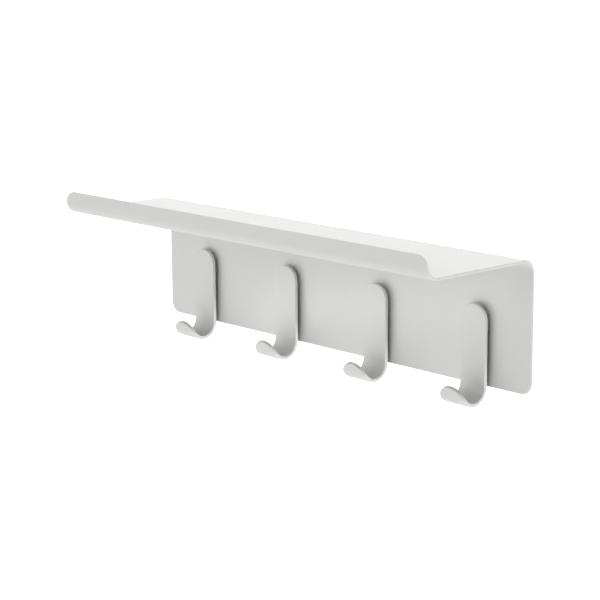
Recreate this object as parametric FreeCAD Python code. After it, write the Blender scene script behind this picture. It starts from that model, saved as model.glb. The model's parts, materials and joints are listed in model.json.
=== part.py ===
import FreeCAD, Part
import math
import os

# Wall rack: a shelf folded from one steel sheet, with four strip hooks standing
# off its back plate.
# Frame: +X along the rack to the right, +Y into the wall, +Z up. The origin is in
# the wall plane, at mid-length, on the line of the two wall screws. All sizes in mm.

# Folded sheet
panel_length = 400.0
sheet = 2.0
shelf_depth = 108.0            # front face of the back plate to front face of the lip
plate_drop = 99.5              # shelf top to the lower edge of the back plate
lip_rise = 16.5                # shelf top to the top edge of the lip
back_bend = 10.5               # outer radius between back plate and shelf
lip_bend = 11.0                # outer radius between shelf and lip
plate_corner = 9.0
lip_corner = 10.0

wall_gap = 7.0                 # wall to the rear face of the back plate

# Hooks, bent from flat strip
hook_count = 4
hook_pitch = 100.0
hook_width = 24.0
hook_thick = 3.0
hook_stand_off = 3.0           # back plate to the rear face of a hook
hook_top_drop = 38.5           # shelf top to the top end of a hook
hook_hang = 12.0               # lower edge of the back plate to the bottom of a hook
hook_bend = 10.5               # inner radius of the bend
hook_lean = 22.0               # degrees between the tip and the vertical
hook_tip = 7.0                 # straight length after the bend

# Weld studs and the holes that they pass through
stud_radius = 2.0
stud_length = 10.0             # from the hook's rear face
stud_flange_radius = 2.75
stud_flange_thick = 0.8
stud_chamfer = 0.5
upper_stud_inset = 12.0        # upper stud to the top end of the hook
lower_stud_inset = 13.0        # lower stud to the lower edge of the back plate
stud_hole_clearance = 0.25

# Spacer rings between hook and back plate
spacer_radius = 6.0
spacer_bore_clearance = 0.25
spacer_chamfer = 0.4

# Flange nuts on the studs
nut_across_flats = 7.0
nut_height = 4.65
nut_flange_radius = 5.0
nut_flange_thick = 1.2
nut_top_radius = 3.4
nut_bevel = 0.6
nut_thread_clearance = 0.05

# Keyholes for the wall screws
screw_spacing = 200.0
key_entry_radius = 5.0
key_slot_radius = 2.5
key_drop = 9.0                 # seated screw to the middle of the entry hole

# Hanging rail, one joggled strip welded behind the plate by its two ends
rail_sheet = 2.0
rail_top_margin = 4.5          # above the keyholes
rail_bottom_margin = 5.0       # below the keyholes
rail_side_margin = 17.5        # keyhole's middle to the start of the joggle
rail_foot = 14.0               # flat length of each welded end
rail_bend = 3.0                # radius on the middle of the strip
rail_slope = 45.0              # degrees
rail_corner = 3.0
rail_nut_gap = 4.5             # lower edge of the rail to the upper nuts

# Rubber bumpers behind the plate, between the outer two hooks on each side
bumper_radius = 8.0
bumper_bottom_inset = 14.0
bumper_chamfer = 1.0

# Places that follow from the sizes above
plate_rear = -wall_gap
plate_front = plate_rear - sheet
hook_rear = plate_front - hook_stand_off
rail_top = key_slot_radius + rail_top_margin
rail_bottom = -key_drop - key_entry_radius - rail_bottom_margin
upper_stud = rail_bottom - rail_nut_gap - nut_flange_radius
hook_top = upper_stud + upper_stud_inset
shelf_top = hook_top + hook_top_drop
lip_top = shelf_top + lip_rise
plate_bottom = shelf_top - plate_drop
lower_stud = plate_bottom + lower_stud_inset
hook_bottom = plate_bottom - hook_hang
through = 4 * panel_length     # longer than anything that it cuts


def in_yz(a, b):
    """Point of a drawing that is seen from the side of the rack."""
    return FreeCAD.Vector(0, a, b)


def in_xy(a, b):
    """Point of a drawing that is seen from above the rack."""
    return FreeCAD.Vector(a, b, 0)


def strip_face(start, heading, steps, thick, place):
    """Face of a bent strip of even thickness, drawn along its middle line.

    start is the first point and heading the first direction, in degrees. Each
    step is a straight run, then a bend: (length, middle radius, turn), where a
    positive turn goes to the left.
    """
    left, right = [], []
    x, y = start
    angle = math.radians(heading)

    def beside(px, py, direction, side):
        shift = side * thick / 2
        return place(px - math.sin(direction) * shift, py + math.cos(direction) * shift)

    for length, radius, turn in steps:
        end_x = x + length * math.cos(angle)
        end_y = y + length * math.sin(angle)
        for edges, side in ((left, 1), (right, -1)):
            a = beside(x, y, angle, side)
            b = beside(end_x, end_y, angle, side)
            edges.append(Part.LineSegment(a, b).toShape())
        x, y = end_x, end_y
        if turn:
            sweep = math.radians(turn)
            hand = math.copysign(1, turn)
            centre_x = x - hand * radius * math.sin(angle)
            centre_y = y + hand * radius * math.cos(angle)
            stops = []
            for share in (0, 0.5, 1):
                direction = angle + share * sweep
                px = centre_x + hand * radius * math.sin(direction)
                py = centre_y - hand * radius * math.cos(direction)
                stops.append((px, py, direction))
            for edges, side in ((left, 1), (right, -1)):
                points = [beside(px, py, direction, side) for px, py, direction in stops]
                edges.append(Part.Arc(*points).toShape())
            x, y, angle = stops[-1]
    first = Part.LineSegment(right[0].Vertexes[0].Point, left[0].Vertexes[0].Point).toShape()
    last = Part.LineSegment(left[-1].Vertexes[-1].Point, right[-1].Vertexes[-1].Point).toShape()
    wire = Part.Wire(Part.__sortEdges__([first] + left + [last] + right))
    return Part.Face(wire)


def cylinder_y(radius, y_from, y_to, x, z):
    """Round bar along Y between two depths."""
    low = min(y_from, y_to)
    return Part.makeCylinder(radius, abs(y_to - y_from), FreeCAD.Vector(x, low, z), FreeCAD.Vector(0, 1, 0))


def turned(profile, x, z):
    """Solid turned about the Y axis from (radius, depth) points, placed at x and z."""
    points = [FreeCAD.Vector(radius, depth, 0) for radius, depth in profile]
    face = Part.Face(Part.makePolygon(points + points[:1]))
    solid = face.revolve(FreeCAD.Vector(0, 0, 0), FreeCAD.Vector(0, 1, 0), 360)
    solid.translate(FreeCAD.Vector(x, 0, z))
    return solid


def corner_cutter(x, z, radius, side, up):
    """Waste at a rounded corner of a face seen from the front, through all depths.

    x and z are the corner, side is +1 for the right end and up is +1 at the top.
    """
    centre_x = x - side * radius
    centre_z = z - up * radius
    low_x = min(centre_x, x + side * sheet)
    low_z = min(centre_z, z + up * sheet)
    size = radius + sheet
    block = Part.makeBox(size, through, size, FreeCAD.Vector(low_x, -through / 2, low_z))
    return block.cut(cylinder_y(radius, -through, through, centre_x, centre_z))


def hook_places():
    """Number and X position of each hook, from the left."""
    middle = (hook_count + 1) / 2
    return [(number, (number - middle) * hook_pitch) for number in range(1, hook_count + 1)]


def fixing_places():
    """Name, X and Z of each stud, with its spacer and nut."""
    places = []
    for number, x in hook_places():
        places.append(("upper_%d" % number, x, upper_stud))
        places.append(("lower_%d" % number, x, lower_stud))
    return places


def make_shelf_panel():
    """One folded sheet: back plate, shelf and upturned front lip."""
    back_middle = back_bend - sheet / 2
    lip_middle = lip_bend - sheet / 2
    start = (plate_rear - sheet / 2, plate_bottom)
    plate_run = shelf_top - back_bend - plate_bottom
    shelf_run = sheet + shelf_depth - back_bend - lip_bend
    lip_run = lip_top - (shelf_top - sheet + lip_bend)
    steps = [
        (plate_run, back_middle, 90),
        (shelf_run, lip_middle, -90),
        (lip_run, 0, 0),
    ]
    face = strip_face(start, 90, steps, sheet, in_yz)
    panel = face.extrude(FreeCAD.Vector(panel_length, 0, 0))
    panel.translate(FreeCAD.Vector(-panel_length / 2, 0, 0))
    for side in (-1, 1):
        end = side * panel_length / 2
        panel = panel.cut(corner_cutter(end, plate_bottom, plate_corner, side, -1))
        panel = panel.cut(corner_cutter(end, lip_top, lip_corner, side, 1))
    hole_radius = stud_radius + stud_hole_clearance
    for name, x, z in fixing_places():
        panel = panel.cut(cylinder_y(hole_radius, plate_front - sheet, plate_rear + sheet, x, z))
    return panel


def round_end_cutter(width, thick):
    """Waste that leaves a full round end on a strip.

    The strip lies in the XZ plane with its end at z = 0 and its body below.
    """
    radius = width / 2
    block = Part.makeBox(2 * width, 4 * thick, 2 * radius, FreeCAD.Vector(-width, -2 * thick, -radius))
    disc = cylinder_y(radius, -3 * thick, 3 * thick, 0, -radius)
    return block.cut(disc)


def make_hook(x):
    """Strip hook: straight shank, round bend, and a tip that leans outwards."""
    bend_middle = hook_bend + hook_thick / 2
    shank_run = hook_top - hook_bottom - hook_bend - hook_thick
    start = (hook_rear - hook_thick / 2, hook_top)
    bend_turn = 180 - hook_lean
    steps = [(shank_run, bend_middle, -bend_turn), (hook_tip, 0, 0)]
    face = strip_face(start, -90, steps, hook_thick, in_yz)
    hook = face.extrude(FreeCAD.Vector(hook_width, 0, 0))
    hook.translate(FreeCAD.Vector(-hook_width / 2, 0, 0))

    top_waste = round_end_cutter(hook_width, hook_thick)
    top_waste.translate(FreeCAD.Vector(0, start[0], start[1]))

    lean = math.radians(hook_lean)
    centre_y = start[0] - bend_middle
    centre_z = hook_bottom + hook_thick + hook_bend
    tip_y = centre_y - bend_middle * math.cos(lean) - hook_tip * math.sin(lean)
    tip_z = centre_z - bend_middle * math.sin(lean) + hook_tip * math.cos(lean)
    tip_waste = round_end_cutter(hook_width, hook_thick)
    tip_waste.rotate(FreeCAD.Vector(0, 0, 0), FreeCAD.Vector(1, 0, 0), hook_lean)
    tip_waste.translate(FreeCAD.Vector(0, tip_y, tip_z))

    hook = hook.cut(top_waste).cut(tip_waste)
    hook.translate(FreeCAD.Vector(x, 0, 0))
    return hook


def make_stud(x, z):
    """Weld stud: a thin flange on the hook's rear face and a shaft to the rear."""
    end = hook_rear + stud_length
    profile = [
        (0, hook_rear),
        (stud_flange_radius, hook_rear),
        (stud_flange_radius, hook_rear + stud_flange_thick),
        (stud_radius, hook_rear + stud_flange_thick),
        (stud_radius, end - stud_chamfer),
        (stud_radius - stud_chamfer, end),
        (0, end),
    ]
    return turned(profile, x, z)


def make_spacer(x, z):
    """Ring that holds a hook off the plate, with room for the stud's flange."""
    bore = stud_flange_radius + spacer_bore_clearance
    profile = [
        (bore, hook_rear),
        (spacer_radius - spacer_chamfer, hook_rear),
        (spacer_radius, hook_rear + spacer_chamfer),
        (spacer_radius, plate_front - spacer_chamfer),
        (spacer_radius - spacer_chamfer, plate_front),
        (bore, plate_front),
    ]
    return turned(profile, x, z)


def make_nut(x, z):
    """Hexagon nut with a round flange, tightened against the plate's rear face."""
    corner = nut_across_flats / math.sqrt(3)
    points = []
    for count in range(7):
        angle = math.radians(60 * count)
        points.append(FreeCAD.Vector(corner * math.cos(angle), plate_rear, corner * math.sin(angle)))
    hexagon = Part.Face(Part.makePolygon(points)).extrude(FreeCAD.Vector(0, nut_height, 0))
    top = plate_rear + nut_height
    bevel = turned([
        (0, plate_rear),
        (corner + nut_bevel, plate_rear),
        (corner + nut_bevel, top - nut_bevel),
        (nut_top_radius, top),
        (0, top),
    ], 0, 0)
    flange = turned([
        (0, plate_rear),
        (nut_flange_radius, plate_rear),
        (nut_flange_radius, plate_rear + nut_flange_thick / 2),
        (corner, plate_rear + nut_flange_thick),
        (0, plate_rear + nut_flange_thick),
    ], 0, 0)
    bore_radius = stud_radius + nut_thread_clearance
    bore = cylinder_y(bore_radius, plate_rear - nut_height, top + nut_height, 0, 0)
    nut = hexagon.common(bevel).fuse(flange).cut(bore).removeSplitter()
    nut.translate(FreeCAD.Vector(x, 0, z))
    return nut


def keyhole_cutter(x):
    """Entry hole and the narrow slot above it, whose end rests on the screw."""
    deep = 2 * wall_gap
    entry = cylinder_y(key_entry_radius, -deep, deep, x, -key_drop)
    seat = cylinder_y(key_slot_radius, -deep, deep, x, 0)
    corner = FreeCAD.Vector(x - key_slot_radius, -deep, -key_drop)
    slot = Part.makeBox(2 * key_slot_radius, 2 * deep, key_drop, corner)
    return entry.fuse(slot).fuse(seat)


def make_hanging_rail():
    """Joggled strip: middle against the wall, ends welded to the plate."""
    step = wall_gap - rail_sheet
    slope = math.radians(rail_slope)
    slope_run = (step - 2 * rail_bend * (1 - math.cos(slope))) / math.sin(slope)
    joggle = 2 * rail_bend * math.sin(slope) + slope_run * math.cos(slope)
    web_run = screw_spacing + 2 * rail_side_margin
    rail_end = web_run / 2 + joggle + rail_foot
    start = (-rail_end, plate_rear + rail_sheet / 2)
    steps = [
        (rail_foot, rail_bend, rail_slope),
        (slope_run, rail_bend, -rail_slope),
        (web_run, rail_bend, -rail_slope),
        (slope_run, rail_bend, rail_slope),
        (rail_foot, 0, 0),
    ]
    face = strip_face(start, 0, steps, rail_sheet, in_xy)
    rail = face.extrude(FreeCAD.Vector(0, 0, rail_top - rail_bottom))
    rail.translate(FreeCAD.Vector(0, 0, rail_bottom))
    for side in (-1, 1):
        end = side * rail_end
        rail = rail.cut(corner_cutter(end, rail_top, rail_corner, side, 1))
        rail = rail.cut(corner_cutter(end, rail_bottom, rail_corner, side, -1))
        rail = rail.cut(keyhole_cutter(side * screw_spacing / 2))
    return rail


def make_bumper(side):
    """Rubber disc that keeps the plate's lower edge as far off the wall as the rail."""
    x = side * (hook_count / 2 - 1) * hook_pitch
    z = plate_bottom + bumper_bottom_inset
    profile = [
        (0, plate_rear),
        (bumper_radius, plate_rear),
        (bumper_radius, -bumper_chamfer),
        (bumper_radius - bumper_chamfer, 0),
        (0, 0),
    ]
    return turned(profile, x, z)


def make_parts():
    """Every node of the rack, by name."""
    parts = {"shelf_panel": make_shelf_panel(), "hanging_rail": make_hanging_rail()}
    for number, x in hook_places():
        parts["hook_%d" % number] = make_hook(x)
    for name, x, z in fixing_places():
        parts["stud_" + name] = make_stud(x, z)
        parts["spacer_" + name] = make_spacer(x, z)
        parts["nut_" + name] = make_nut(x, z)
    parts["bumper_left"] = make_bumper(-1)
    parts["bumper_right"] = make_bumper(1)
    return parts


os.makedirs("parts", exist_ok=True)
for node, shape in make_parts().items():
    solids = shape.Solids
    assert len(solids) == 1 and shape.isValid(), node
    solids[0].exportStep("parts/%s.step" % node)
    box = shape.BoundBox
    print("%-18s volume %9.1f  x %7.1f %7.1f  y %7.2f %7.2f  z %7.2f %7.2f" % (
        node, shape.Volume, box.XMin, box.XMax, box.YMin, box.YMax, box.ZMin, box.ZMax))
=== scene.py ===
import json
import math

import bpy
import numpy as np
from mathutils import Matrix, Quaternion, Vector


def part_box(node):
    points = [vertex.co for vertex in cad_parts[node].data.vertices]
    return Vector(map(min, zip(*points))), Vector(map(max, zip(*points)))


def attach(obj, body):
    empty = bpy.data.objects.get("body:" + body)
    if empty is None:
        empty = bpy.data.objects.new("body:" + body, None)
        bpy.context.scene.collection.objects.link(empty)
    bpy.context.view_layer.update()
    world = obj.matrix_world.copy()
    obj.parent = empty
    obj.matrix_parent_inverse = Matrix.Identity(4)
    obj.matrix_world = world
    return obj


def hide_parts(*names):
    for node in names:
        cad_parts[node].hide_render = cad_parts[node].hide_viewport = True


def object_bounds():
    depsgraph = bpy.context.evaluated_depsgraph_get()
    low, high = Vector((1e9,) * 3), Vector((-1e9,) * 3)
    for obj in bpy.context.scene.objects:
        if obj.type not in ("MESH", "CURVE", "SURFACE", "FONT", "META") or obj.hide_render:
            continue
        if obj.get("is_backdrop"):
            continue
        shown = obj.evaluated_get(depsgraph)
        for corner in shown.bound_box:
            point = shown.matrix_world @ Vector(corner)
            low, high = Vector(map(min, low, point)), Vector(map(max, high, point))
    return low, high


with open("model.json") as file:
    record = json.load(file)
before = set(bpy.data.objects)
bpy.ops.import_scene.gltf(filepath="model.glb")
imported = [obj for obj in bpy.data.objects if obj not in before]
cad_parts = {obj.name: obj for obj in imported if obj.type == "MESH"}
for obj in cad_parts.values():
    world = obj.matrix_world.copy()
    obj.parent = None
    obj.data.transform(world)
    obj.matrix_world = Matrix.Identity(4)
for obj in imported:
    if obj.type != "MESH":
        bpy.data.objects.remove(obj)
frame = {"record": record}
cad_low, cad_high = (np.array(corner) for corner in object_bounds())
MM = 0.001


# The shelf panel is one sheet of 2 mm steel. A press brake folds it twice, into a
# back plate, a shelf, and a lip that turns up along the front. It is powder coated
# after folding, so every cut edge is rounded by the coat as well as by deburring.

class Signal:
    """A value that runs through a finish. Arithmetic on it adds Math nodes."""

    def __init__(self, finish, socket):
        self.finish = finish
        self.socket = socket

    def maths(self, operation, *values):
        inputs = dict(enumerate(values))
        return self.finish.node("ShaderNodeMath", {"operation": operation}, inputs)

    def __add__(self, other):
        return self.maths("ADD", self, other)

    def __sub__(self, other):
        return self.maths("SUBTRACT", self, other)

    def __rsub__(self, other):
        return self.maths("SUBTRACT", other, self)

    def __mul__(self, other):
        return self.maths("MULTIPLY", self, other)

    __radd__ = __add__
    __rmul__ = __mul__

    def ramp(self, low, high):
        """0 below low, 1 above high, and an even slope between."""
        settings = {"clamp": True}
        return self.finish.node("ShaderNodeMapRange", settings, {0: self, 1: low, 2: high})


class Finish:
    """A surface finish: one Principled shader and the nodes that feed it."""

    def __init__(self, name, **constants):
        self.material = bpy.data.materials.new(name)
        self.material.use_nodes = True
        self.tree = self.material.node_tree
        self.shader = self.tree.nodes["Principled BSDF"]
        for socket, value in constants.items():
            self.feed(self.shader.inputs[socket.replace("_", " ")], value)
        self.place = self.node("ShaderNodeTexCoord", output="Object")

    def feed(self, socket, value):
        if isinstance(value, Signal):
            self.tree.links.new(value.socket, socket)
        else:
            socket.default_value = value

    def node(self, kind, settings=None, sockets=None, output=0):
        """Adds one node: its settings first, then the values or links of its sockets."""
        made = self.tree.nodes.new(kind)
        for setting, value in (settings or {}).items():
            setattr(made, setting, value)
        for socket, value in (sockets or {}).items():
            self.feed(made.inputs[socket], value)
        return Signal(self, made.outputs[output])

    def noise(self, per_metre, detail=2.0, place=None):
        """Cloudy noise from 0 to 1, with this many lumps to a metre."""
        sockets = {"Vector": place or self.place, "Scale": per_metre, "Detail": detail}
        return self.node("ShaderNodeTexNoise", sockets=sockets)

    def blend(self, share, first, second):
        """Colour that goes from first to second as share goes from 0 to 1."""
        settings = {"data_type": "RGBA"}
        sockets = {0: share, 6: first, 7: second}
        return self.node("ShaderNodeMix", settings, sockets, output=2)

    def surface(self, colour, roughness, height=None):
        """Joins the colour, the roughness and a height in metres to the shader."""
        self.feed(self.shader.inputs["Base Color"], colour)
        self.feed(self.shader.inputs["Roughness"], roughness)
        if height is not None:
            sockets = {"Strength": 1.0, "Distance": 1.0, "Height": height}
            bump = self.node("ShaderNodeBump", sockets=sockets)
            self.feed(self.shader.inputs["Normal"], bump)
        return self.material


def shade(red, green, blue, times=1.0):
    """Colour with its last value, alpha, at 1."""
    return (red * times, green * times, blue * times, 1.0)


def powder_coat(name, red, green, blue, welds=()):
    """Matt powder coat: orange peel, a fine grain and a faint drift of tone.

    The coat is thinnest on the cut edges, which the edge attribute marks. Under it,
    each spot weld, given by its X and Z, leaves a shallow round dimple.
    """
    coat_relief = 0.03 * MM
    weld_depth = 0.16 * MM
    weld_floor, weld_rim = 1.8 * MM, 3.0 * MM
    bare_steel = shade(0.46, 0.46, 0.47)
    coat = Finish(name, IOR=1.5, Specular_IOR_Level=0.4)
    peel = coat.noise(620, 2.0)
    grain = coat.noise(2600, 3.0)
    drift = coat.noise(16, 3.0)
    edge = coat.node("ShaderNodeAttribute", {"attribute_name": "edge"}, output="Fac")
    thin = edge * coat.noise(240, 4.0).ramp(0.35, 0.75)
    tone = drift * 0.6 + grain * 0.4
    even = coat.blend(tone, shade(red, green, blue, 0.955), shade(red, green, blue, 1.045))
    colour = coat.blend(thin * 0.16, even, bare_steel)
    roughness = 0.50 + 0.10 * (grain - 0.5) + 0.12 * (peel - 0.5) - 0.06 * thin
    height = (peel * 0.75 + grain * 0.25) * coat_relief
    for x, z in welds:
        from_weld = {0: coat.place, 1: (-x, 0, -z), 3: (1, 0, 1)}
        centred = coat.node("ShaderNodeMapping", sockets=from_weld)
        length = {"operation": "LENGTH"}
        distance = coat.node("ShaderNodeVectorMath", length, {0: centred}, "Value")
        height = height + distance.ramp(weld_floor, weld_rim) * weld_depth
    return coat.surface(colour, roughness, height)


def fold_line(start, heading, steps, lengths):
    """Points and left-hand normals at the given lengths along a folded line.

    The line is a chain of a straight run and then an arc: (run, radius, turn in
    degrees, positive to the left). A run adds its length times its direction. An
    arc of radius R that has turned by q from heading a adds R times
    (sin(a + q) - sin(a), cos(a) - cos(a + q)), with the sign of the turn.
    """
    points = np.tile(np.array(start, float), (len(lengths), 1))
    angle = math.radians(heading)
    heading_at = np.full(len(lengths), angle)
    walked = 0.0
    for run, radius, turn in steps:
        along = np.clip(lengths - walked, 0, run)
        points += along[:, None] * np.array([math.cos(angle), math.sin(angle)])
        walked += run
        if turn:
            sign = math.copysign(1.0, turn)
            sweep = math.radians(abs(turn))
            q = sign * np.clip((lengths - walked) / radius, 0, sweep)
            along_arc = np.sin(angle + q) - math.sin(angle)
            up_arc = math.cos(angle) - np.cos(angle + q)
            points += sign * radius * np.stack([along_arc, up_arc], 1)
            heading_at = heading_at + q
            angle += sign * sweep
            walked += radius * sweep
    normals = np.stack([-np.sin(heading_at), np.cos(heading_at)], 1)
    return points, normals


def row_lengths(steps, first, last, straight, bend_angle):
    """Lengths of the cross rows from first to last: close in arcs, wide in runs."""
    rows = [np.array([first, last])]
    begin = 0.0
    for run, radius, turn in steps:
        count = max(1, round(run / straight))
        rows.append(begin + np.linspace(0, run, count + 1))
        begin += run
        if turn:
            size = radius * math.radians(abs(turn))
            rows.append(begin + np.linspace(0, size, max(2, round(abs(turn) / bend_angle)) + 1))
            begin += size
    rows = np.unique(np.round(np.concatenate(rows), 9))
    return rows[(rows >= first) & (rows <= last)]


def mesh_piece(name, finish, vertices, quads, triangles=(), normals=None):
    """Object with a mesh of these vertices and faces, all turned outwards.

    The volume is the sum over all triangles of a . (b x c) / 6, and if it comes out
    negative the faces look inwards, so they are reversed.
    """
    corners = np.concatenate([quads[:, [0, 1, 2]], quads[:, [0, 2, 3]], *triangles])
    a, b, c = (vertices[corners[:, number]] - vertices.mean(0) for number in range(3))
    turn = 1 if np.einsum("ij,ij->", a, np.cross(b, c)) > 0 else -1
    faces = quads[:, ::turn].tolist()
    for band in triangles:
        faces += band[:, ::turn].tolist()
    mesh = bpy.data.meshes.new(name)
    mesh.from_pydata(vertices.tolist(), [], faces)
    mesh.polygons.foreach_set("use_smooth", np.ones(len(faces), bool))
    if normals is not None:
        mesh.normals_split_custom_set_from_vertices(normals.tolist())
    mesh.materials.append(finish)
    piece = bpy.data.objects.new(name, mesh)
    bpy.context.scene.collection.objects.link(piece)
    return piece


def folded_sheet(name, finish, start, heading, steps, width, thick, corners, edge,
                 centre=0.0, straight=4 * MM, columns=40, holes=(), upright=False):
    """Closed sheet of even thickness, folded about X, with rounded corners and edges.

    Flat, the sheet is a rounded rectangle: s runs along the fold line and x across.
    Its face is a grid inset by the edge radius e. Past the grid's rim, a loop with
    outward direction n is carried over the edge: at angle p it lies e sin(p) further
    out and t/2 - e (1 - cos(p)) from the middle of the sheet. Each flat point (s, x)
    then goes to the fold line's point at s, moved by its height along the normal.
    A hole takes out the grid for its reach either side, and rings run from that gap's
    rim to the hole's outline. An upright sheet is folded about Z instead.
    """
    total = sum(run + radius * math.radians(abs(turn)) for run, radius, turn in steps)
    low_corner, high_corner = corners
    corner_steps, edge_steps, hole_rings = 14, 5, 7
    quarter = np.linspace(math.pi / 2, 0, corner_steps + 1)
    low_rows = low_corner - (low_corner - edge) * np.sin(quarter)
    high_rows = (total - high_corner + (high_corner - edge) * np.sin(quarter))[::-1]
    row_angle = 3.0
    between = row_lengths(steps, low_corner, total - high_corner, straight, row_angle)
    middle_rows = between[1:-1]
    middle_half = np.full(len(middle_rows), width / 2 - edge)
    rows = np.concatenate([low_rows, middle_rows, high_rows])
    half = np.concatenate([
        width / 2 - low_corner + (low_corner - edge) * np.cos(quarter),
        middle_half,
        (width / 2 - high_corner + (high_corner - edge) * np.cos(quarter))[::-1],
    ])
    side_s = np.concatenate([-np.sin(quarter), 0 * middle_rows, np.sin(quarter)[::-1]])
    side_x = np.concatenate([np.cos(quarter), 1 + 0 * middle_rows, np.cos(quarter)[::-1]])

    across = np.linspace(-1, 1, columns + 1)
    flat_s = np.repeat(rows[:, None], columns + 1, 1)
    flat_x = half[:, None] * across[None, :]
    grid = np.arange(flat_s.size).reshape(flat_s.shape)
    cells = np.stack([grid[:-1, :-1], grid[:-1, 1:], grid[1:, 1:], grid[1:, :-1]], -1)
    flat_s, flat_x = flat_s.ravel(), flat_x.ravel()
    ones = np.ones(columns)
    loops = [(
        np.concatenate([grid[0], grid[1:, -1], grid[-1, -2::-1], grid[-2:0:-1, 0]]),
        np.concatenate([-ones, [-1], side_s[1:], ones, side_s[-2:0:-1]]),
        np.concatenate([0 * ones, [0], side_x[1:], 0 * ones, -side_x[-2:0:-1]]),
    )]
    solid = np.ones(len(cells), bool)
    patches = []
    for middle_s, middle_x, reach, outline in holes:
        first, last = np.searchsorted(rows, [middle_s - reach, middle_s + reach])
        solid[first:last] = False
        rim = np.concatenate([
            grid[first, :-1], grid[first:last, -1], grid[last, :0:-1], grid[last:first:-1, 0],
        ])
        rim_s, rim_x = flat_s[rim], flat_x[rim]
        hole_s, hole_x, into_s, into_x = outline(np.arctan2(rim_s - middle_s, rim_x - middle_x))
        share = np.linspace(0, 1, hole_rings + 1)[1:, None]
        ring_s = rim_s + share * (middle_s + hole_s - edge * into_s - rim_s)
        ring_x = rim_x + share * (middle_x + hole_x - edge * into_x - rim_x)
        ids = np.concatenate([[rim], len(flat_s) + np.arange(ring_s.size).reshape(ring_s.shape)])
        ahead = np.roll(ids, -1, 1)
        patches.append(np.stack([ids[:-1], ahead[:-1], ahead[1:], ids[1:]], -1).reshape(-1, 4))
        loops.append((ids[-1, ::-1], into_s[::-1], into_x[::-1]))
        flat_s = np.concatenate([flat_s, ring_s.ravel()])
        flat_x = np.concatenate([flat_x, ring_x.ravel()])
    face = np.concatenate([cells[solid].reshape(-1, 4)] + patches)

    turn = np.linspace(0, math.pi / 2, edge_steps + 1)[1:]
    rings = [(edge * math.sin(p), thick / 2 - edge * (1 - math.cos(p)), p) for p in turn]
    rings += [(out, -height, math.pi - p) for out, height, p in rings[::-1]]

    def place(s, x, height, lean_s, lean_x, lift):
        """Points and normals in space for flat points and their heights."""
        points, normals = fold_line(start, heading, steps, s)
        tangents = np.stack([normals[:, 1], -normals[:, 0]], 1)
        spot = np.column_stack([centre + x, points + height[:, None] * normals])
        lean = np.column_stack([lean_x, lean_s[:, None] * tangents + lift[:, None] * normals])
        if upright:
            spot, lean = np.roll(spot, -1, 1), np.roll(lean, -1, 1)
        return np.hstack([spot, lean])

    count = len(flat_s)
    flat = np.zeros(count)
    parts = [
        place(flat_s, flat_x, flat + side * thick / 2, flat, flat, flat + side)
        for side in (1, -1)
    ]
    faces = [face, face[:, ::-1] + count]
    filled = 2 * count
    for loop, out_s, out_x in loops:
        bands = [loop]
        for out, height, p in rings:
            level = np.full(len(loop), height)
            parts.append(place(
                flat_s[loop] + out_s * out, flat_x[loop] + out_x * out, level,
                out_s * math.sin(p), out_x * math.sin(p), np.full(len(loop), math.cos(p)),
            ))
            bands.append(filled + np.arange(len(loop)))
            filled += len(loop)
        bands.append(loop + count)
        for inner, outer in zip(bands[:-1], bands[1:]):
            band = [inner, outer, np.roll(outer, -1), np.roll(inner, -1)]
            faces.append(np.stack(band, -1))
    faces = np.concatenate(faces)
    used, faces = np.unique(faces, return_inverse=True)
    vertices = np.concatenate(parts)[used]
    quads = faces.reshape(-1, 4)
    piece = mesh_piece(name, finish, vertices[:, :3], quads, normals=vertices[:, 3:])
    mark = piece.data.attributes.new("edge", "FLOAT", "POINT")
    mark.data.foreach_set("value", (used >= 2 * count).astype(float))
    return piece


sheet = 2 * MM
panel_low, panel_high = (np.array(corner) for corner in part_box("shelf_panel"))
back_bend = 9.5 * MM
lip_bend = 10 * MM
lip_rise = 16.5 * MM
plate_corner = 9 * MM
lip_corner = 10 * MM
panel_edge = 0.6 * MM
shelf_top = panel_high[2] - lip_rise
plate_middle = panel_high[1] - sheet / 2
lip_middle = panel_low[1] + sheet / 2
shelf_middle = shelf_top - sheet / 2
panel_steps = [
    (shelf_middle - back_bend - panel_low[2], back_bend, 90),
    (plate_middle - back_bend - lip_middle - lip_bend, lip_bend, -90),
    (panel_high[2] - shelf_middle - lip_bend, 0, 0),
]
coat_colour = (0.640, 0.638, 0.627)
panel = folded_sheet(
    "powder_coated_panel", powder_coat("panel_powder_coat", *coat_colour),
    (plate_middle, panel_low[2]), 90, panel_steps,
    panel_high[0] - panel_low[0], sheet, (plate_corner, lip_corner), panel_edge,
)
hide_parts("shelf_panel")
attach(panel, "root")


# The hanging rail is a joggled strip of 2 mm steel behind the plate. Its two feet are
# spot welded to the plate, its middle lies on the wall, and two keyholes punched in
# it drop over the wall screws. It is powder coated together with the panel.

key_entry = 5 * MM
key_slot = 2.5 * MM
key_drop = 9 * MM


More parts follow.
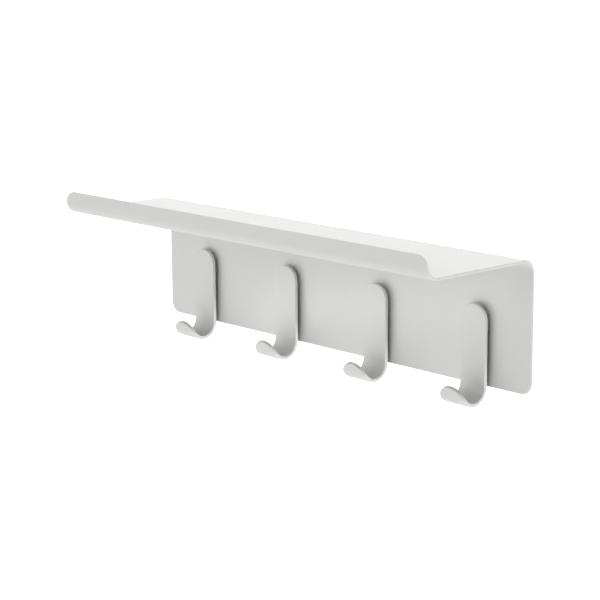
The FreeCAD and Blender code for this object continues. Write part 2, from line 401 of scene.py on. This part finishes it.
def keyhole(directions):
    """Outline of a keyhole about its entry hole, and the way into the hole.

    A ray at angle q from the slot leaves the entry hole at its radius R, and the slot
    of half width w at w / sin(q), or at L cos(q) + root(w^2 - L^2 sin(q)^2) where it
    meets the round end, L above. The outline's radius is the sixteenth root of the
    sum of the sixteenth powers of the two, which rounds the corners between them.
    Its points are spread half by angle and half by length, from the first of the
    given directions round to it again.
    """
    ray_count = 2001
    power = 16
    way_round = math.copysign(1, directions[1] - directions[0])
    sweep = directions[0] + way_round * np.linspace(0, 2 * math.pi, ray_count)
    off_axis = np.abs((sweep + math.pi) % (2 * math.pi) - math.pi)
    sine, cosine = np.maximum(np.sin(off_axis), 1e-6), np.cos(off_axis)
    under_root = np.clip(key_slot ** 2 - (key_drop * sine) ** 2, 0, None)
    wall = np.where(off_axis < math.pi / 2, key_slot / sine, key_slot)
    tip = off_axis < math.atan(key_slot / key_drop)
    slot = np.where(tip, key_drop * cosine + np.sqrt(under_root), wall)
    radius = (key_entry ** power + slot ** power) ** (1 / power)
    s, x = radius * np.sin(sweep), radius * np.cos(sweep)
    walked = np.concatenate([[0], np.cumsum(np.hypot(np.diff(s), np.diff(x)))])
    spread = 0.5 * walked / walked[-1] + 0.5 * np.linspace(0, 1, ray_count)
    even = np.linspace(0, 1, len(directions), endpoint=False)
    at = np.interp(even, spread, np.arange(ray_count))
    s, x = (np.interp(at, np.arange(ray_count), values) for values in (s, x))
    ahead_s, ahead_x = (np.roll(values, -1) - np.roll(values, 1) for values in (s, x))
    length = np.hypot(ahead_s, ahead_x)
    into_s, into_x = ahead_x / length, -ahead_s / length
    side = -np.sign((into_s * s + into_x * x).sum())
    return s, x, side * into_s, side * into_x


rail_low, rail_high = (np.array(corner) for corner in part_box("hanging_rail"))
rail_bend = 3 * MM
rail_foot = 14 * MM
rail_corner = 3 * MM
rail_edge = 0.4 * MM
key_reach = 12 * MM
weld_height = 6.5 * MM
rail_step = rail_high[1] - rail_low[1] - sheet
rail_slope = math.radians(45)
slope_run = (rail_step - 2 * rail_bend * (1 - math.cos(rail_slope))) / math.sin(rail_slope)
joggle = 2 * rail_bend * math.sin(rail_slope) + slope_run * math.cos(rail_slope)
rail_length = rail_high[0] - rail_low[0]
rail_web = rail_length - 2 * (joggle + rail_foot)
rail_steps = [
    (rail_foot, rail_bend, 45), (slope_run, rail_bend, -45), (rail_web, rail_bend, -45),
    (slope_run, rail_bend, 45), (rail_foot, 0, 0),
]
screws = [mount for mount in frame["record"]["mounts"] if mount["name"].startswith("keyhole")]
web_start = rail_foot + slope_run + 2 * rail_bend * rail_slope
rail_middle = (rail_low[2] + rail_high[2]) / 2
punched = []
for mount in screws:
    along = web_start + rail_web / 2 + mount["pos_m"][0]
    punched.append((along, mount["pos_m"][2] - rail_middle, key_reach, keyhole))
foot_x = rail_high[0] - rail_foot / 2
weld_spots = [
    (side * foot_x, rail_middle + up * weld_height)
    for side in (-1, 1)
    for up in (-1, 1)
]
rail = folded_sheet(
    "hanging_rail_coated", powder_coat("rail_powder_coat", *coat_colour, welds=weld_spots),
    (rail_low[0], rail_low[1] + sheet / 2), 0, rail_steps,
    rail_high[2] - rail_low[2], sheet, (rail_corner, rail_corner), rail_edge,
    centre=rail_middle, straight=1 * MM, columns=26, holes=punched, upright=True,
)
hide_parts("hanging_rail")
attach(rail, "root")


# The four hooks are cut from 3 mm strip with full round ends, bent cold round a
# 21 mm former, and powder coated with the same grey as the panel. Their faces are
# unbroken, because the studs are welded on behind.

hook_thick = 3 * MM
hook_bend = 12 * MM
hook_lean = 22
hook_tip = 7 * MM
hook_edge = 0.85 * MM
hook_end_gap = 0.1 * MM
hook_coat = powder_coat("hook_powder_coat", *coat_colour)


def strip_hook(number):
    """A hook from its CAD node's box: shank down, round bend, short leaning tip."""
    low, high = (np.array(corner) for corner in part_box("hook_%d" % number))
    width = high[0] - low[0]
    shank = high[2] - low[2] - hook_bend - hook_thick / 2
    steps = [(shank, hook_bend, hook_lean - 180), (hook_tip, 0, 0)]
    start = (high[1] - hook_thick / 2, high[2])
    round_end = width / 2 - hook_end_gap
    return folded_sheet(
        "hook_%d_coated" % number, hook_coat, start, -90, steps, width, hook_thick,
        (round_end, round_end), hook_edge, centre=(low[0] + high[0]) / 2, columns=12,
    )


hook_numbers = (1, 2, 3, 4)
for number in hook_numbers:
    hook = strip_hook(number)
    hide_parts("hook_%d" % number)
    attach(hook, "root")


# A pair of M4 weld studs stands on the back of each hook. The stud gun fuses the thin
# flange to the strip, and the rolled thread carries a copper flash against rust.

sharp_angle = math.radians(38)


def turned_piece(name, finish, radii, depths, centre, ring=False):
    """Closed surface turned about a line along Y, from radii and depths.

    Rows follow the profile and columns go round: a column at angle u lies at
    (r cos u, y, r sin u) from the centre. A row whose radii are all zero is one
    point, which closes a pole, and a ring's last row joins its first.
    """
    rows, columns = radii.shape
    around = np.linspace(0, 2 * math.pi, columns, endpoint=False)
    vertices, ids = [], []
    for radius, depth in zip(radii, depths):
        count = len(vertices)
        x = centre[0] + radius * np.cos(around)
        z = centre[1] + radius * np.sin(around)
        spots = np.stack([x, depth, z], 1)
        if radius.max() == 0:
            ids.append(np.full(columns, count))
            spots = spots[:1]
        else:
            ids.append(count + np.arange(columns))
        vertices.extend(spots.tolist())
    if ring:
        ids.append(ids[0])
    quads, triangles = [], []
    for inner, outer in zip(ids[:-1], ids[1:]):
        band = np.stack([inner, outer, np.roll(outer, -1), np.roll(inner, -1)], 1)
        if inner[0] == inner[1]:
            triangles.append(band[:, [0, 1, 2]])
        elif outer[0] == outer[1]:
            triangles.append(band[:, [0, 1, 3]])
        else:
            quads.append(band)
    piece = mesh_piece(name, finish, np.array(vertices), np.concatenate(quads), triangles)
    piece.data.set_sharp_from_angle(angle=sharp_angle)
    return piece


def crisp_edge(piece, width, segments=2):
    """Small rounding on every sharp edge of a piece."""
    bevel = piece.modifiers.new("edge_rounding", "BEVEL")
    bevel.width = width
    bevel.segments = segments
    bevel.limit_method = "ANGLE"
    bevel.angle_limit = sharp_angle
    bevel.harden_normals = True


def fixing_middle(node):
    """Lowest and highest depth of a turned CAD node, and its X and Z middle."""
    low, high = (np.array(corner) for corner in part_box(node))
    middle = (low + high) / 2
    return low[1], high[1], (middle[0], middle[2])


def copper_flash(name, foot, tip):
    """Copper on rolled steel: bright thread, heat-tinted and dull at the weld."""
    copper = Finish(name, IOR=1.5)
    depth = copper.node("ShaderNodeSeparateXYZ", sockets={0: copper.place}, output=1)
    heat = 1 - depth.ramp(foot, foot + 0.25 * (tip - foot))
    patches = copper.noise(900, 3.0)
    scratches = copper.noise(5200, 2.0)
    bright = copper.blend(patches, shade(0.70, 0.37, 0.24), shade(0.78, 0.47, 0.32))
    tinted = copper.blend(patches, shade(0.20, 0.15, 0.14), shade(0.34, 0.22, 0.17))
    colour = copper.blend(heat * (0.55 + 0.45 * patches), bright, tinted)
    roughness = 0.30 + 0.16 * patches + 0.22 * heat
    copper.feed(copper.shader.inputs["Metallic"], 1.0 - 0.3 * heat)
    relief = (patches * 0.6 + scratches * 0.4) * (0.012 * MM)
    return copper.surface(colour, roughness, relief)


thread_pitch = 0.7 * MM
thread_depth = 0.38 * MM
stud_radius = 2 * MM
flange_radius = 2.75 * MM
flange_thick = 0.8 * MM
tip_cone = 0.5 * MM


def weld_stud(node, finish):
    """Stud with a helical thread, turned from its foot on the hook to its tip.

    Over the thread the radius is R - d c, where c is a triangle wave of the depth
    over the pitch less the angle over one turn, with flat crests and roots. Near
    the flange c fades out, and a 45 degree cone trims the tip.
    """
    foot, tip, centre = fixing_middle(node)
    columns = 36
    turn = np.linspace(0, 1, columns, endpoint=False)[None, :]
    smooth = foot + flange_thick
    rows_per_pitch = 7
    rows = 1 + round((tip - smooth) / thread_pitch * rows_per_pitch)
    along = np.linspace(smooth, tip, rows)[:, None]
    wave = 2 * np.abs(((along - smooth) / thread_pitch - turn) % 1 - 0.5)
    cut = np.clip(1.4 * wave - 0.2, 0, 1) * np.clip((along - smooth) / thread_pitch, 0, 1)
    cone = stud_radius - tip_cone + (tip - along)
    shaft = np.minimum(stud_radius - thread_depth * cut, cone)
    flange = np.array([0, 0.55, 0.9, 1.0, 1.0, 0.96]) * flange_radius
    flange_depths = foot + np.array([0, 0, 0.02, 0.2, 0.75, 1.0]) * flange_thick
    end = np.array([0.6, 0.0]) * (stud_radius - tip_cone)
    ones = np.ones((1, columns))
    radii = np.concatenate([flange[:, None] * ones, shaft, end[:, None] * ones])
    end_depths = np.full((2, columns), tip)
    depths = np.concatenate([flange_depths[:, None] * ones, along * ones, end_depths])
    return turned_piece(node + "_threaded", finish, radii, depths, centre)


fixings = ["%s_%d" % (level, number) for number in hook_numbers for level in ("upper", "lower")]
stud_foot, stud_tip = fixing_middle("stud_upper_1")[:2]
stud_finish = copper_flash("stud_copper_flash", stud_foot, stud_tip)
for fixing in fixings:
    stud = weld_stud("stud_" + fixing, stud_finish)
    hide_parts("stud_" + fixing)
    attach(stud, "root")


# Spacer rings keep each hook 3 mm off the back plate. They are parted off from steel
# bar on a lathe, chamfered on their edges, and zinc plated in a tumbling barrel.

def zinc_plate(name):
    """Bright zinc: bluish silver with cloudy patches and fine tumbling scratches."""
    zinc = Finish(name, IOR=1.5, Metallic=1.0)
    cloud = zinc.noise(420, 3.0)
    spangle = zinc.noise(1600, 2.0)
    scratches = zinc.noise(6400, 2.0)
    silver = (0.46, 0.47, 0.485)
    cool = zinc.blend(cloud, shade(*silver, 0.86), shade(*silver, 1.12))
    warm = shade(0.56, 0.54, 0.47)
    colour = zinc.blend((1 - spangle).ramp(0.45, 0.75) * 0.35, cool, warm)
    roughness = 0.27 + 0.20 * (cloud - 0.3) + 0.10 * scratches
    relief = (spangle * 0.4 + scratches * 0.6) * (0.01 * MM)
    return zinc.surface(colour, roughness, relief)


def spacer_ring(node, finish):
    """Plain ring: bore, faces, chamfers and rim, as one closed profile turned."""
    front, rear, centre = fixing_middle(node)
    low, high = (np.array(corner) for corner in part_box(node))
    outer = (high[0] - low[0]) / 2
    bore, chamfer, bore_chamfer = 3 * MM, 0.4 * MM, 0.2 * MM
    profile = np.array([
        (bore, front + bore_chamfer), (bore + bore_chamfer, front),
        (outer - chamfer, front), (outer, front + chamfer),
        (outer, rear - chamfer), (outer - chamfer, rear),
        (bore + bore_chamfer, rear), (bore, rear - bore_chamfer),
    ])
    columns = np.ones((1, 64))
    radii, depths = profile[:, :1] * columns, profile[:, 1:] * columns
    ring = turned_piece(node + "_ring", finish, radii, depths, centre, True)
    crisp_edge(ring, 0.1 * MM)
    return ring


spacer_finish = zinc_plate("spacer_zinc_plate")
for fixing in fixings:
    spacer = spacer_ring("spacer_" + fixing, spacer_finish)
    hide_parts("spacer_" + fixing)
    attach(spacer, "root")


# Flange nuts M4 clamp the hooks from behind the plate. Each is cold headed with its
# round flange, bevelled on top by a cone, and zinc plated.

def flange_nut(node, finish):
    """Hexagon nut with a flange, as one closed profile that varies with the angle.

    The hexagon's radius at angle u is half its width over flats divided by the
    cosine of the angle to the nearest flat's middle. The cone on top cuts it at a
    height that falls by 0.484 for each unit that the radius is over the top circle,
    which leaves the curved edges of a real nut.
    """
    seat, top, centre = fixing_middle(node)
    low, high = (np.array(corner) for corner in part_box(node))
    flange = (high[0] - low[0]) / 2
    half_flats, top_circle, bore = 3.5 * MM, 3.4 * MM, 2.05 * MM
    seat_chamfer, top_chamfer, rim = 0.3 * MM, 0.35 * MM, 0.15 * MM
    rim_height, flange_height, neck_height = 0.6 * MM, 1.15 * MM, 1.25 * MM
    cone_fall = 0.484
    columns = 72
    around = np.linspace(0, 2 * math.pi, columns, endpoint=False)
    off_flat = (around % (math.pi / 3)) - math.pi / 6
    hexagon = half_flats / np.cos(off_flat)
    corner = half_flats / math.cos(math.pi / 6)
    ones = np.ones(columns)
    cone = top - cone_fall * (hexagon - top_circle)
    profile = [
        (bore * ones, (seat + seat_chamfer) * ones),
        ((bore + seat_chamfer) * ones, seat * ones),
        ((flange - rim) * ones, seat * ones),
        (flange * ones, (seat + rim) * ones),
        (flange * ones, (seat + rim_height) * ones),
        (corner * 1.01 * ones, (seat + flange_height) * ones),
        (hexagon, (seat + neck_height) * ones),
        (hexagon, cone),
        (top_circle * ones, top * ones),
        ((bore + top_chamfer) * ones, top * ones),
        (bore * ones, (top - top_chamfer) * ones),
    ]
    radii = np.array([radius for radius, depth in profile])
    depths = np.array([depth for radius, depth in profile])
    nut = turned_piece(node + "_hexagon", finish, radii, depths, centre, True)
    crisp_edge(nut, 0.08 * MM)
    return nut


nut_finish = zinc_plate("nut_zinc_plate")
for fixing in fixings:
    nut = flange_nut("nut_" + fixing, nut_finish)
    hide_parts("nut_" + fixing)
    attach(nut, "root")


# Two moulded rubber bumpers hold the plate's lower edge off the wall, level with the
# hanging rail. Each is a low drum with a rounded rim and a shallow dish in its face.

def moulded_rubber(name):
    """Soft grey rubber: matt, finely stippled, with faint dusty patches."""
    rubber = Finish(name, IOR=1.5, Specular_IOR_Level=0.35)
    dust = rubber.noise(160, 4.0)
    stipple = rubber.noise(3000, 2.0)
    plain = rubber.blend(stipple, shade(0.105, 0.106, 0.108), shade(0.135, 0.136, 0.138))
    dusty = shade(0.24, 0.24, 0.235)
    colour = rubber.blend(dust.ramp(0.5, 0.8) * 0.35, plain, dusty)
    roughness = 0.74 + 0.14 * (dust - 0.5) + 0.08 * (stipple - 0.5)
    relief = (stipple * 0.7 + dust * 0.3) * (0.05 * MM)
    return rubber.surface(colour, roughness, relief)


def rubber_bumper(node, finish):
    """Drum turned from its glued face to its wall face, with arcs at both rims."""
    glued, wall, centre = fixing_middle(node)
    low, high = (np.array(corner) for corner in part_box(node))
    radius = (high[0] - low[0]) / 2
    rim, foot = 1.2 * MM, 0.3 * MM
    arc = np.linspace(0, math.pi / 2, 9)
    foot_arc = np.stack([
        radius - foot + foot * np.sin(arc),
        glued + foot - foot * np.cos(arc),
    ], 1)
    rim_arc = np.stack([
        radius - rim + rim * np.cos(arc),
        wall - rim + rim * np.sin(arc),
    ], 1)
    dish = np.array([
        (5.4, 0), (5.1, 0.06), (4.8, 0.22), (4.4, 0.34),
        (3.9, 0.4), (2.0, 0.4), (0, 0.4),
    ]) * MM
    dish[:, 1] = wall - dish[:, 1]
    profile = np.concatenate([[(0, glued), (radius * 0.6, glued)], foot_arc, rim_arc, dish])
    columns = np.ones((1, 64))
    radii, depths = profile[:, :1] * columns, profile[:, 1:] * columns
    return turned_piece(node + "_moulded", finish, radii, depths, centre)


bumper_finish = moulded_rubber("bumper_moulded_rubber")
for node in ("bumper_left", "bumper_right"):
    bumper = rubber_bumper(node, bumper_finish)
    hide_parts(node)
    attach(bumper, "root")


# Studio: a plain pale floor well below the rack, a white backdrop that adds only its
# reflections, broad lamps from all round, and a narrow strip lamp at the lower left
# that lays a soft band of light across the plate.

floor_drop = 1.3
floor_height = cad_low[2] - floor_drop
floor_half = 90.0
floor_mesh = bpy.data.meshes.new("studio_floor")
floor_corners = [
    (side * floor_half, end * floor_half, floor_height)
    for side, end in ((-1, -1), (1, -1), (1, 1), (-1, 1))
]
floor_mesh.from_pydata(floor_corners, [], [(0, 1, 2, 3)])
floor = bpy.data.objects.new("studio_floor", floor_mesh)
bpy.context.scene.collection.objects.link(floor)
floor_paint = Finish("studio_floor_paint")
floor_tone = floor_paint.blend(
    floor_paint.noise(3, 2.0), shade(0.89, 0.89, 0.89), shade(0.91, 0.91, 0.91),
)
floor_mesh.materials.append(floor_paint.surface(floor_tone, 0.9))
floor_paint.shader.inputs["Emission Color"].default_value = shade(1, 1, 1)
floor_paint.shader.inputs["Emission Strength"].default_value = 0.55
floor.visible_diffuse = False
floor.visible_glossy = False
floor.visible_shadow = False
floor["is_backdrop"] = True

world = bpy.data.worlds.new("studio_white")
world.use_nodes = True
backdrop = world.node_tree.nodes["Background"]
backdrop.inputs["Color"].default_value = shade(1, 1, 1)
backdrop.inputs["Strength"].default_value = 1.08
bpy.context.scene.world = world
world.cycles_visibility.diffuse = False
bpy.context.scene.view_settings.view_transform = "Standard"


def broad_lamp(name, towards, strength, spread):
    """Even light from far off that travels towards a direction, spread in degrees."""
    data = bpy.data.lights.new(name, "SUN")
    data.energy = strength
    data.angle = math.radians(spread)
    lamp = bpy.data.objects.new(name, data)
    lamp.rotation_euler = Vector(towards).to_track_quat("-Z", "Y").to_euler()
    bpy.context.scene.collection.objects.link(lamp)


for name, towards, strength, spread in (
    ("overhead_light", (0.0, 0.0, -1.0), 2.29, 60),
    ("rear_top_light", (0.0, -1.0, -1.2), 0.27, 60),
    ("rear_left_light", (1.0, -0.7, -0.1), 1.13, 60),
    ("low_rear_light", (0.0, -1.0, 0.8), 0.35, 60),
    ("front_light", (0.0, 1.0, -0.2), 0.88, 60),
    ("key_light", (1.0, 1.0, -0.2), 0.83, 60),
    ("low_key_light", (1.0, 1.0, 0.9), 0.80, 60),
    ("low_front_light", (0.0, 1.0, 0.8), 0.67, 60),
    ("right_light", (-1.0, -0.05, 0.17), 1.08, 16),
    ("low_right_light", (-1.0, -0.15, 0.9), 2.30, 24),
):
    broad_lamp(name, towards, strength, spread)

strip_data = bpy.data.lights.new("strip_light", "AREA")
strip_data.shape = "RECTANGLE"
strip_data.size = 0.2
strip_data.size_y = 0.03
strip_data.spread = math.radians(4)
strip_data.energy = 0.0021
strip_lamp = bpy.data.objects.new("strip_light", strip_data)
strip_target = Vector((50 * MM, plate_middle, -33 * MM))
strip_side = Vector((-0.842, -0.828, -0.273)).normalized()
strip_distance = 0.9
strip_lamp.location = strip_target + strip_distance * strip_side
strip_lamp.rotation_euler = (-strip_side).to_track_quat("-Z", "Y").to_euler()
strip_lamp.visible_camera = False
bpy.context.scene.collection.objects.link(strip_lamp)

camera_data = bpy.data.cameras.new("product_camera")
camera_data.lens = 113.45
camera_data.sensor_width = 36.0
camera_data.clip_end = 400.0
camera = bpy.data.objects.new("product_camera", camera_data)
view_side = math.radians(47.08)
view_up = math.radians(12.06)
view_distance = 1.4366
aim_offset = np.array([8.39, 5.46, -4.4]) * MM
aim = (cad_low + cad_high) / 2 + aim_offset
backwards = np.array([
    math.sin(view_side) * math.cos(view_up),
    -math.cos(view_side) * math.cos(view_up),
    math.sin(view_up),
])
camera.location = aim + view_distance * backwards
camera_tilt = Quaternion((0.0, 0.0, 1.0), math.radians(-0.395))
camera.rotation_euler = (Vector(-backwards).to_track_quat("-Z", "Y") @ camera_tilt).to_euler()
bpy.context.scene.collection.objects.link(camera)
bpy.context.scene.camera = camera
